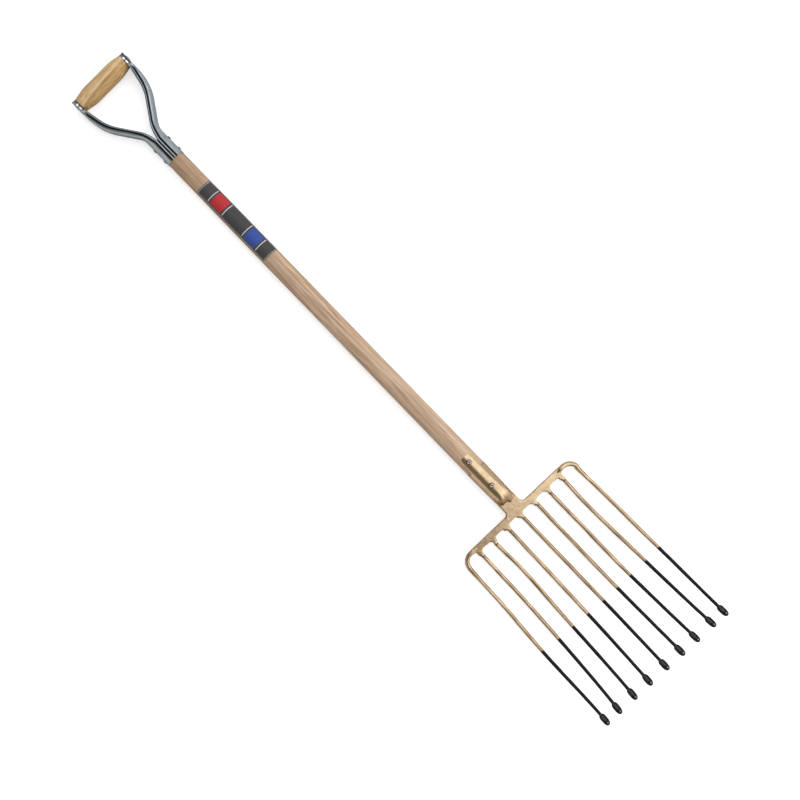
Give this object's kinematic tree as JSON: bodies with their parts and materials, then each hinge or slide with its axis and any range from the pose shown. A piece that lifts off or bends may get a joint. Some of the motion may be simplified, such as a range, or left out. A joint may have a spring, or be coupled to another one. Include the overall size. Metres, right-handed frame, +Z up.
{
  "type": "potato fork",
  "caption": "Long-handled potato fork with a curved head of round knob-ended tines, a straight wooden shaft and a steel-framed wooden D grip.",
  "frame": {"origin": "on the floor under the middle of the fork's length and width, with the fork lying on its back", "axes": "+Y from the tines up the shaft to the hand grip, +X to the right as seen from the hollow side with the grip at the top, +Z up, to the hollow side of the tines"},
  "size_m": [0.304, 1.5021, 0.068],
  "materials": {
    "gold_lacquer": "clear gold-bronze lacquer over forged steel, with the outer half of the tines dipped in gloss black",
    "galvanised_steel": "bright zinc-coated pressed sheet",
    "bright_steel": "bright peened rivet steel",
    "ash_shaft": "pale ash with long straight grain, satin",
    "grip_wood": "yellower wood, turned, with streaks along the barrel, satin",
    "label_film": "dark grey glossy sticker with plain stripes"
  },
  "bodies": {
    "root": {"shaft": "ash_shaft", "grip_frame": "galvanised_steel", "hand_grip": "grip_wood", "grip_rod": "bright_steel", "frame_rivet_upper": "galvanised_steel", "frame_rivet_lower": "galvanised_steel", "label_band": "label_film", "crosshead": "gold_lacquer", "socket_rivet_upper": "bright_steel", "socket_rivet_lower": "bright_steel", "tine_1": "gold_lacquer", "tine_2": "gold_lacquer", "tine_3": "gold_lacquer", "tine_4": "gold_lacquer", "tine_5": "gold_lacquer", "tine_6": "gold_lacquer", "tine_7": "gold_lacquer", "tine_8": "gold_lacquer", "tine_9": "gold_lacquer"}
  },
  "joints": []
}
